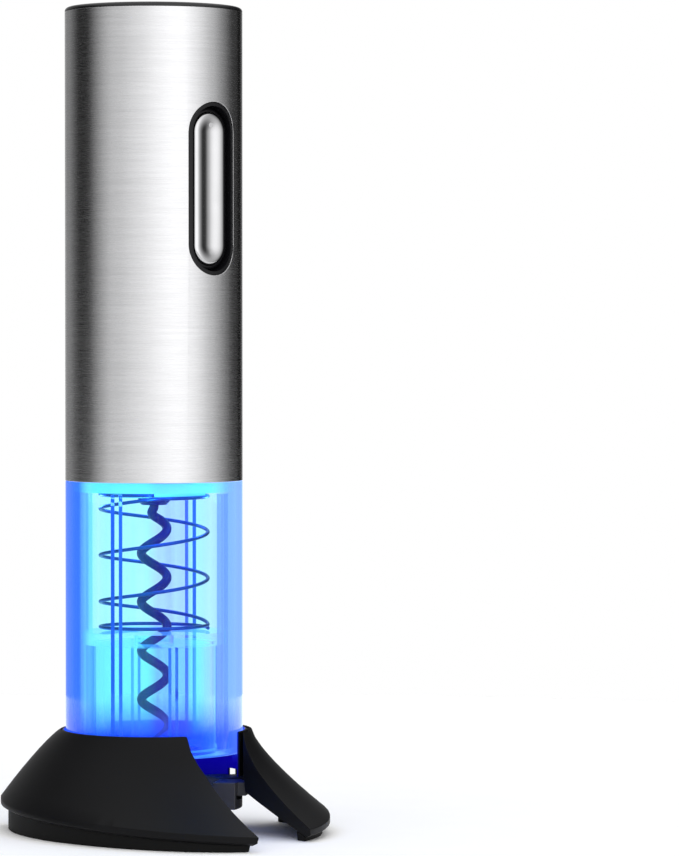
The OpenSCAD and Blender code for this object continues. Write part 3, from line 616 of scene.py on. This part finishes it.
@dataclass(frozen=True)
class Board(Finish):
    """Printed circuit board: solder mask with pale tracks under it."""

    name: str = "board_green"

    def sockets(self, graph: Graph) -> dict[str, Any]:
        """Lays pale tracks under the mask.

        Args:
            graph: The graph of the material.

        Returns:
            The colour and gloss.
        """
        brick = graph.node("ShaderNodeTexBrick", inputs={
            "Vector": graph.place(), "Scale": 300.0, "Mortar Size": 0.04,
            "Color1": (0.01, 0.09, 0.045, 1.0), "Color2": (0.012, 0.11, 0.05, 1.0),
            "Mortar": (0.04, 0.22, 0.1, 1.0)}).out("Color")
        return {"Base Color": brick, "Roughness": 0.3 + graph.noise(graph.place(), 500.0) * 0.1}


@dataclass(frozen=True)
class CellJacket(Finish):
    """Shrink jacket of a cell: dark body with a copper-coloured band at the top."""

    name: str = "cell_jacket"
    band_z: float = 0.214
    body_colour: Colour = (0.02, 0.025, 0.03)
    band_colour: Colour = (0.42, 0.2, 0.08)

    def sockets(self, graph: Graph) -> dict[str, Any]:
        """Paints the jacket and its band.

        Args:
            graph: The graph of the material.

        Returns:
            The colour and gloss.
        """
        height = graph.axes(graph.place())[2]
        band = ((height - self.band_z) * 4000.0).clamp()
        colour = graph.mix(band, self.body_colour, self.band_colour)
        return {"Base Color": colour, "Roughness": 0.22 + graph.noise(graph.place(), 200.0) * 0.1}


FINISHES: dict[str, Finish] = {
    "stand_black": LitCollar("stand_black", (0.004, 0.004, 0.0045), 0.42, 0.3, 0.012, shine=0.1),
    "foot_strip": Moulded("foot_strip", (0.005, 0.005, 0.005), 0.62, 0.4, 0.03, shine=0.1),
    "jaw_plastic": Moulded("jaw_plastic", (0.03, 0.03, 0.036), 0.5, 0.3, 0.02),
    "steel_pin": Metal("steel_pin", (0.58, 0.59, 0.6), 0.22, 0.1, (1.0, 1.0, 4.0)),
    "clear_plastic": Glowing(),
    "brushed_steel": BrushedSleeve(),
    "light_plastic": LitPlastic("light_plastic", (0.15, 0.4, 0.6), 0.5, 0.5, 0.01),
    "board_green": Board(),
    "lamp_blue": Lamp(),
    # The spring's deep blue is the chamber's blue light painted into the steel's colour.
    "spring_steel": Metal("spring_steel", (0.012, 0.07, 0.42), 0.3, 0.1),
    "gearbox_grey": Moulded("gearbox_grey", (0.13, 0.14, 0.15), 0.5, 0.3, 0.02),
    "plate_steel": Metal("plate_steel", (0.55, 0.56, 0.57), 0.3, 0.12, (1.0, 1.0, 6.0)),
    "gear_plastic": Moulded("gear_plastic", (0.72, 0.70, 0.62), 0.4, 0.2, 0.01),
    "sintered_brass": Metal("sintered_brass", (0.62, 0.45, 0.18), 0.35, 0.15),
    "zinc_screw": Metal("zinc_screw", (0.62, 0.62, 0.58), 0.28, 0.12),
    "end_cap_white": Moulded("end_cap_white", (0.66, 0.64, 0.56), 0.5, 0.3, 0.02),
    "frame_grey": Moulded("frame_grey", (0.045, 0.047, 0.052), 0.55, 0.3, 0.02),
    "cell_jacket": CellJacket(),
    "switch_black": Moulded("switch_black", (0.015, 0.015, 0.017), 0.4, 0.2, 0.01),
    "bezel_black": Moulded("bezel_black", (0.004, 0.004, 0.005), 0.3, 0.25, 0.006, shine=0.22),
    "dark_chrome": Metal("dark_chrome", (0.60, 0.60, 0.61), 0.09, 0.03, (1.0, 1.0, 1.0), 0.001),
    "cap_black": Moulded("cap_black", (0.008, 0.008, 0.009), 0.22, 0.3, 0.004, shine=0.4),
    "contact_nickel": Metal("contact_nickel", (0.6, 0.57, 0.5), 0.25, 0.1),
    # The worm's dark coating, with the chamber's blue light painted into its colour.
    "worm_steel": Moulded("worm_steel", (0.0, 0.006, 0.16), 0.25, 0.3, 0.004, shine=0.12),
    "wheel_steel": Metal("wheel_steel", (0.55, 0.57, 0.6), 0.2, 0.1),
}


# ---- Mesh helpers ----


def finish_piece(mesh: bmesh.types.BMesh, name: str, slot: str, body: Body,
                 *replaced: str) -> bpy.types.Object:
    """Makes a mesh into a piece that rides on a body.

    Args:
        mesh: The shape, in metres, in its place. It is freed.
        name: The piece's name.
        slot: The material slot whose finish it takes.
        body: The body that it moves with.
        replaced: The solids that it stands for.

    Returns:
        The new object.
    """
    bmesh.ops.recalc_face_normals(mesh, faces=mesh.faces)
    data = bpy.data.meshes.new(name)
    mesh.to_mesh(data)
    mesh.free()
    data.polygons.foreach_set("use_smooth", [True] * len(data.polygons))
    piece = bpy.data.objects.new(name, data)
    bpy.context.scene.collection.objects.link(piece)
    data.materials.append(FINISHES[slot].material())
    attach(piece, body.value)
    if replaced:
        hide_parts(*replaced)
    LOG.info("%s: %d faces on %s", name, len(data.polygons), body.value)
    return piece


def split_edges(piece: bpy.types.Object, degrees: float) -> None:
    """Keeps edges sharper than an angle crisp on a smooth-shaded piece."""
    split = piece.modifiers.new("crisp", "EDGE_SPLIT")
    split.split_angle = math.radians(degrees)


def sweep(points: Sequence[Vector], radii: Sequence[float], across: Sequence[Vector],
          sides: int) -> bmesh.types.BMesh:
    """Sweeps a round wire by extruding one ring of vertices from point to point.

    Args:
        points: The wire's centre line.
        radii: Its radius at each point.
        across: A direction at each point that lies across the wire.
        sides: The number of sides.

    Returns:
        The closed mesh.
    """
    mesh = bmesh.new()
    ring = bmesh.ops.create_circle(mesh, cap_ends=False, segments=sides, radius=1.0)["verts"]
    edges = list(mesh.edges)
    last = len(points) - 1
    for i, point in enumerate(points):
        if i:
            made = bmesh.ops.extrude_edge_only(mesh, edges=edges)["geom"]
            ring = [v for v in made if isinstance(v, bmesh.types.BMVert)]
            edges = [e for e in made if isinstance(e, bmesh.types.BMEdge)]
        along = (points[min(i + 1, last)] - points[max(i - 1, 0)]).normalized()
        side = (across[i] - along * along.dot(across[i])).normalized()
        up = along.cross(side)
        for k, vertex in enumerate(ring):
            turn = 2 * math.pi * k / sides
            vertex.co = point + radii[i] * (math.cos(turn) * side + math.sin(turn) * up)
    bmesh.ops.holes_fill(mesh, edges=mesh.edges, sides=sides)
    return mesh


# ---- The opener's own pieces ----


@dataclass
class Worm:
    """The worm's wire: a sharpened tip, even coils and a shank into the hub.

    The shank and the taper of the tip are shares of a turn, and the point is a share of the wire's thickness.
    """

    wire: float = 2.6 * MM
    pitch: float = 13.8 * MM
    phase: float = math.radians(200.0)
    shank: float = 0.3
    taper: float = 0.55
    point: float = 0.05
    bend_gap: float = 0.5 * MM
    steps: int = 48
    sides: int = 20
    low: Vector = field(default_factory=lambda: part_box("worm")[0])
    high: Vector = field(default_factory=lambda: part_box("worm")[1])
    hub_low: Vector = field(default_factory=lambda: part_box("worm_hub")[0])

    def build(self) -> bpy.types.Object:
        """Sweeps the wire finer than its solid.

        Returns:
            The worm.
        """
        coil = (self.high.x - self.low.x) / 2 - self.wire / 2
        tip, top = self.low.z, self.high.z
        shank = self.pitch * self.shank
        bend = self.hub_low.z - self.bend_gap - shank
        taper = self.pitch * self.taper
        count = round((top - tip) / self.pitch * self.steps)
        points, radii, across = [], [], []
        for i in range(count + 1):
            z = tip + (top - tip) * i / count
            turn = self.phase + 2 * math.pi * (z - tip) / self.pitch
            run = min(1.0, max(0.0, (z - bend) / shank))
            reach = coil * (1 - run * run * (3 - 2 * run))
            outward = Vector((math.cos(turn), math.sin(turn), 0.0))
            points.append(outward * reach + Vector((0.0, 0.0, z)))
            full = min(1.0, (z - tip) / taper) ** 0.7
            radii.append(self.wire / 2 * (self.point + (1 - self.point) * full))
            across.append(outward)
        mesh = sweep(points, radii, across, self.sides)
        return finish_piece(mesh, "worm_wire", "worm_steel", Body.WORM, "worm")


@dataclass
class Spring:
    """The return spring: open turns between two closed end coils."""

    wire: float = 1.0 * MM
    open_turns: float = 2.75
    start: float = math.radians(-42.7)
    travel: float = 30.0 * MM
    closed_pitch: float = 1.05
    steps: int = 64
    sides: int = 12

    def build(self) -> bpy.types.Object:
        """Sweeps the wire finer than its solid, and gives it a mesh of its own.

        Returns:
            The spring.
        """
        low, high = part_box("return_spring")
        coil = (high.x - low.x) / 2 - self.wire / 2
        closed = self.wire * self.closed_pitch
        bottom = low.z + self.wire / 2
        rise = high.z - low.z - self.wire - 2 * closed
        turns = self.open_turns + 2
        count = round(turns * self.steps)
        points, across = [], []
        for i in range(count + 1):
            turn = turns * i / count
            z = bottom + closed * (min(turn, 1.0) + max(0.0, turn - turns + 1.0))
            z += rise * min(1.0, max(0.0, (turn - 1.0) / self.open_turns))
            angle = self.start + 2 * math.pi * turn
            outward = Vector((math.cos(angle), math.sin(angle), 0.0))
            points.append(outward * coil + Vector((0.0, 0.0, z)))
            across.append(outward)
        mesh = sweep(points, [self.wire / 2] * len(points), across, self.sides)
        piece = finish_piece(mesh, "spring_wire", "spring_steel", Body.OPENER, "return_spring")
        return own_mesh(piece)


@dataclass
class Key:
    """The rocker key: a rim round a polished inlay with a shallow dish for the thumb. The rim's black is
    painted shade, standing in for the dark reflection of the bezel's wall on the key's flank.
    """

    arc: int = 32
    rows: int = 10
    crown: float = 1.9 * MM
    side: float = 1.1 * MM
    rim_w: float = 1.2 * MM
    rim_h: float = 1.0 * MM
    seam: float = 0.08 * MM
    roll_w: float = 1.5 * MM
    dish: float = 1.0 * MM
    inlay_foot: float = 0.3 * MM
    rim_floor: float = 0.4 * MM
    inlay_sunk: float = 0.2 * MM
    dish_share: float = 0.985
    crisp: float = 50.0

    def _roll(self, inset: float, width: float, low: float, high: float) -> list[tuple[float, float]]:
        """Returns a quarter round as pairs of inset and height over the key's straight side."""
        turns = [math.pi / 2 * i / self.rows for i in range(self.rows + 1)]
        return [(inset + width * (1 - math.cos(a)), low + (high - low) * math.sin(a)) for a in turns]

    def _rim(self) -> list[tuple[float, float]]:
        """Returns the rim's section, from the back round to the floor under the inlay."""
        floor = self.crown - self.dish - self.rim_floor
        return [(0.0, -self.side), *self._roll(0.0, self.rim_w, 0.0, self.rim_h), (self.rim_w, floor)]

    def _inlay(self, half_w: float) -> list[tuple[float, float]]:
        """Draws the inlay's section, from its foot to the middle of the dish.

        Args:
            half_w: Half the key's width.

        Returns:
            Pairs of inset and height.
        """
        start = self.rim_w + self.seam
        foot = self.crown - self.dish - self.inlay_foot
        roll = self._roll(start, self.roll_w, self.rim_h - self.inlay_sunk, self.crown)
        reach = half_w * self.dish_share - start - self.roll_w
        steps = [(i + 1) / (2 * self.rows) for i in range(2 * self.rows)]
        dish = [(start + self.roll_w + reach * t, self.crown - self.dish * (1 - math.cos(math.pi * t)) / 2)
                for t in steps]
        return [(start, foot), *roll, *dish]

    def _lathe(self, section: Sequence[tuple[float, float]], middle: Vector, half_w: float, centre: float,
               edge: float) -> bmesh.types.BMesh:
        """Carries a section round the key's outline.

        Args:
            section: Pairs of inset from the outline and height over the straight side.
            middle: The key's middle.
            half_w: Half the key's width.
            centre: Height of the centre of each end's half round over the middle.
            edge: Depth of the top of the key's straight side.

        Returns:
            The closed mesh.
        """
        mesh = bmesh.new()
        ring = bmesh.ops.create_circle(mesh, cap_ends=False, segments=2 * self.arc, radius=1.0)["verts"]
        turns = [2 * math.pi * (k + 0.5) / (2 * self.arc) for k in range(2 * self.arc)]
        edges = list(mesh.edges)
        for i, (inset, height) in enumerate(section):
            if i:
                made = bmesh.ops.extrude_edge_only(mesh, edges=edges)["geom"]
                ring = [v for v in made if isinstance(v, bmesh.types.BMVert)]
                edges = [e for e in made if isinstance(e, bmesh.types.BMEdge)]
            for vertex, turn in zip(ring, turns):
                shift = centre if math.sin(turn) > 0 else -centre
                vertex.co = Vector((
                    middle.x + (half_w - inset) * math.cos(turn), edge - height,
                    middle.z + shift + (half_w - inset) * math.sin(turn)))
        bmesh.ops.holes_fill(mesh, edges=mesh.edges, sides=2 * self.arc)
        return mesh

    def build(self) -> list[bpy.types.Object]:
        """Makes the rim and the inlay, from the size of the key's solid.

        Returns:
            The two pieces.
        """
        low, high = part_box("rocker")
        middle = (low + high) / 2
        half_w, half_h = (high.x - low.x) / 2, (high.z - low.z) / 2
        place = (middle, half_w, half_h - half_w, low.y + self.crown)
        # The rim takes the bezel's black: painted shade on the key's flank.
        rim = finish_piece(self._lathe(self._rim(), *place), "key_rim", "bezel_black", Body.KEY, "rocker")
        inlay = finish_piece(self._lathe(self._inlay(half_w), *place), "key_inlay", "dark_chrome", Body.KEY)
        for piece in (rim, inlay):
            split_edges(piece, self.crisp)
        return [rim, inlay]


# ---- Dressing the solids ----

# How near two corners of a solid's triangles are when they are one, and past what angle its edges are
# rounded and stay crisp, in degrees.
WELD_WITHIN = 0.002 * MM
ROUND_PAST = 40.0
CRISP_PAST = 35.0


@dataclass
class Dresser:
    """Gives every carried-over solid its finish and soft or crisp shading."""

    rounded: dict[str, float] = field(default_factory=lambda: {
        "steel_sleeve": 0.15, "clear_tube": 0.2, "neck_guide": 0.25, "wide_wing": 0.5, "squeeze_wing": 0.5,
        "stand_collar": 0.15, "wide_foot": 0.3, "squeeze_foot": 0.3, "rocker_bezel": 0.15,
        "fixed_jaws": 0.3, "arm_jaws": 0.3, "chamber_roof": 0.2,
    })

    def dress(self) -> None:
        """Dresses all the solids."""
        slots = {part["node"]: part["material_slot"] for part in frame["record"]["subparts"]}
        for name, node in frame["nodes"].items():
            self._finish(node, slots[name])
            self._shade(node, self.rounded.get(name, 0.0) * MM)

    @staticmethod
    def _finish(node: bpy.types.Object, slot: str) -> None:
        """Puts a slot's finish on a solid.

        Args:
            node: The solid.
            slot: The material slot that the record gives it.
        """
        made = FINISHES[slot].material()
        if not node.material_slots:
            node.data.materials.append(made)
        for place in node.material_slots:
            place.material = made

    @staticmethod
    def _shade(node: bpy.types.Object, width: float) -> None:
        """Welds a solid's triangles for smooth shading, and rounds its edges.

        Args:
            node: The solid.
            width: Width of the rounding, or 0 for crisp edges.
        """
        node.data.polygons.foreach_set("use_smooth", [True] * len(node.data.polygons))
        weld = node.modifiers.new("weld", "WELD")
        weld.merge_threshold = WELD_WITHIN
        if width:
            bevel = node.modifiers.new("round", "BEVEL")
            bevel.width = width
            bevel.segments = 3
            bevel.limit_method = "ANGLE"
            bevel.angle_limit = math.radians(ROUND_PAST)
            bevel.harden_normals = False
            bevel.use_clamp_overlap = True
        split_edges(node, CRISP_PAST)
        if width:
            even = node.modifiers.new("even", "WEIGHTED_NORMAL")
            even.keep_sharp = True


# ---- Studio ----

# Degrees to the right of the camera, and how bright the room is there.
SCREENS = (
    (-180, 0.7), (-160, 0.35), (-137, 0.26), (-119, 0.07), (-103, 0.02), (-88, 0.13), (-63, 0.7), (-37, 0.98),
    (-5, 1.42), (27, 1.8), (45, 1.65), (70, 1.05), (90, 0.58), (115, 0.14), (135, 0.05), (158, 0.08),
    (180, 0.7))
SCREEN_PEAK = 1.8


@dataclass
class Studio:
    """Floor, soft light and a camera at eye level with the tube.

    The camera stands at azimuth degrees from the front, distance metres from the tube's axis and eye metres
    up, and is turned by yaw_right and pitch_down to frame the tube. The room brightens to top overhead.
    """

    azimuth: float = -42.7
    distance: float = 1.1865
    eye: float = 0.142
    lens: float = 176.6
    yaw_right: float = 2.53
    pitch_down: float = 1.34
    top: float = 1.32
    top_from: float = 0.45
    top_rise: float = 3.0
    sensor: float = 36.0
    floor_radius: float = 0.45
    lamps: int = 4
    lamp_colour: Colour = (0.15, 0.4, 1.0)
    lamp_watts: float = 0.003
    lamp_size: float = 0.002
    lamp_drop: float = 3.0 * MM

    def build(self) -> None:
        """Makes the camera, the floor and the lights."""
        self._camera()
        self._floor()
        self._world()
        self._lights()

    def _camera(self) -> None:
        """Makes the camera, turned off the axis as the framing needs."""
        data = bpy.data.cameras.new("camera")
        data.lens = self.lens
        data.sensor_width = self.sensor
        data.clip_start, data.clip_end = 0.05, 50.0
        camera = bpy.data.objects.new("camera", data)
        bpy.context.scene.collection.objects.link(camera)
        turn = math.radians(self.azimuth)
        camera.location = (math.sin(turn) * self.distance, -math.cos(turn) * self.distance, self.eye)
        heading = turn - math.radians(self.yaw_right)
        tilt = math.radians(90.0 - self.pitch_down)
        camera.rotation_euler = (tilt, 0.0, heading)
        bpy.context.scene.camera = camera

    def _floor(self) -> None:
        """Makes the pale floor, as a round sheet of card."""
        mesh = bmesh.new()
        bmesh.ops.create_circle(mesh, cap_ends=True, segments=96, radius=self.floor_radius)
        data = bpy.data.meshes.new("floor")
        mesh.to_mesh(data)
        mesh.free()
        floor = bpy.data.objects.new("floor", data)
        bpy.context.scene.collection.objects.link(floor)
        card = Moulded("floor_white", (0.97, 0.97, 0.97), 0.9, 3.0, 0.0, shine=0.2)
        data.materials.append(card.material())

    def _world(self) -> None:
        """Paints the room: plain white to the eye, with bright and dark screens all round for reflections."""
        world = bpy.data.worlds.new("room")
        bpy.context.scene.world = world
        world.use_nodes = True
        graph = Graph(world.node_tree)
        x, y, z = graph.axes(graph.node("ShaderNodeTexCoord").out("Generated"))
        turn = graph.node("ShaderNodeMath", {"operation": "ARCTAN2"}, {0: x, 1: 0 - y}).out(0)
        share = (turn - math.radians(self.azimuth)) / (2 * math.pi) + 0.5
        wrapped = graph.node("ShaderNodeMath", {"operation": "FRACT"}, {0: share}).out(0)
        stops = [(0.5 + degrees / 360, (v / SCREEN_PEAK,) * 3) for degrees, v in SCREENS]
        room = graph.ramp(wrapped, stops, smooth=True)
        top = ((z - self.top_from) * self.top_rise).clamp()
        room = graph.mix(top, room, (self.top / SCREEN_PEAK,) * 3)
        path = graph.node("ShaderNodeLightPath")
        eye = path.out("Is Camera Ray")
        strength = SCREEN_PEAK + eye * (1.0 - SCREEN_PEAK)
        seen = graph.mix(eye, room, (1.0, 1.0, 1.0))
        light = graph.node("ShaderNodeBackground", inputs={"Color": seen, "Strength": strength})
        graph.node("ShaderNodeOutputWorld", inputs={"Surface": light.out(0)})

    def _lights(self) -> None:
        """Makes the blue lamps over the chamber."""
        low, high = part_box("leds")
        reach = (high.x - low.x) / 2
        for k in range(self.lamps):
            turn = 2 * math.pi * (k + 0.5) / self.lamps
            data = bpy.data.lights.new(f"lamp_{k}", "POINT")
            data.color = self.lamp_colour
            data.energy = self.lamp_watts
            data.shadow_soft_size = self.lamp_size
            lamp = bpy.data.objects.new(f"lamp_{k}", data)
            lamp.location = (reach * math.cos(turn), reach * math.sin(turn), low.z - self.lamp_drop)
            bpy.context.scene.collection.objects.link(lamp)


def main() -> None:
    """Builds the studio, dresses the solids and adds the finer pieces."""
    logging.basicConfig(level=logging.INFO, format="%(message)s")
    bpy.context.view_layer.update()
    Studio().build()
    Dresser().dress()
    Worm().build()
    Spring().build()
    Key().build()
    bpy.context.scene.view_settings.view_transform = "Standard"


if __name__ == "__main__":
    main()
